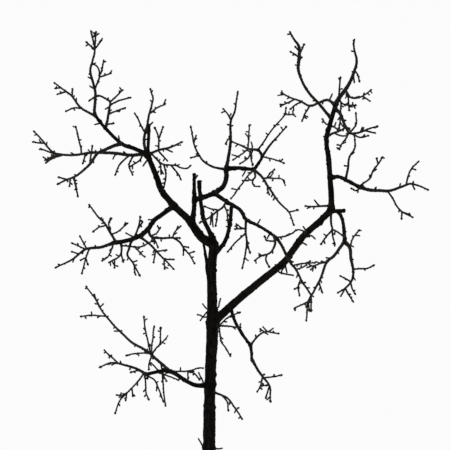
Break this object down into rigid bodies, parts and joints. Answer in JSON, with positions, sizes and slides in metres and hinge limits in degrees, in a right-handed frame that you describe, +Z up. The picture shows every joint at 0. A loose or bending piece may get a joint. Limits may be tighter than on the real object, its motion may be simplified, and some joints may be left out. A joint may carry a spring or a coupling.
{
  "type": "bare deciduous tree",
  "caption": "Leafless winter tree with a slim flared trunk, one low spreading bough, a forked leader, cut stubs and a wide open crown of knobby twigs",
  "frame": {"origin": "the middle of the trunk's flat cut at ground level", "axes": "+Z up along the height, +X to the right seen from the front, +Y away from the front"},
  "size_m": [3.9446, 2.49, 5.9791],
  "materials": {
    "bark": "rough fissured bark, very dark grey-brown",
    "twigs": "matt dark grey-brown twig bark"
  },
  "bodies": {
    "root": {"trunk": "bark", "left_leader": "bark", "prop": "bark", "upper_left": "bark", "knot_stub": "bark", "lower_left": "bark", "left_stub": "bark", "right_stub": "bark", "centre_bough": "bark", "centre_arm": "bark", "centre_outer": "bark", "right_bough": "bark", "right_leader": "bark", "right_outer": "bark", "elbow_stub": "bark", "right_droop": "bark", "low_right": "bark", "low_left": "bark", "riser": "bark", "spray_top_left": "twigs", "spray_upper_inner": "twigs", "spray_upper_far": "twigs", "spray_hanging_left": "twigs", "spray_far_left": "twigs", "spray_knot_up": "twigs", "spray_knot_right": "twigs", "spray_lower_far": "twigs", "spray_lower_rise": "twigs", "spray_lower_mid": "twigs", "spray_lower_reach": "twigs", "spray_lower_east": "twigs", "spray_lower_drop": "twigs", "spray_lower_west": "twigs", "spray_centre_top": "twigs", "spray_centre_left": "twigs", "spray_arm_crown": "twigs", "spray_arm_long": "twigs", "spray_arm_fall": "twigs", "spray_arm_under": "twigs", "spray_outer_tip": "twigs", "spray_outer_hang": "twigs", "spray_outer_drop": "twigs", "spray_outer_inner": "twigs", "spray_right_top": "twigs", "spray_horn": "twigs", "spray_right_west": "twigs", "spray_right_inner": "twigs", "spray_leader_mid": "twigs", "spray_outer_east": "twigs", "spray_outer_mid": "twigs", "spray_droop_outer": "twigs", "spray_droop_inner": "twigs", "spray_elbow_hang": "twigs", "spray_elbow_left": "twigs", "spray_low_right": "twigs", "spray_low_curl": "twigs", "spray_low_left": "twigs", "spray_low_rise": "twigs", "spray_trunk_low": "twigs", "spray_trunk_right": "twigs"}
  },
  "joints": []
}
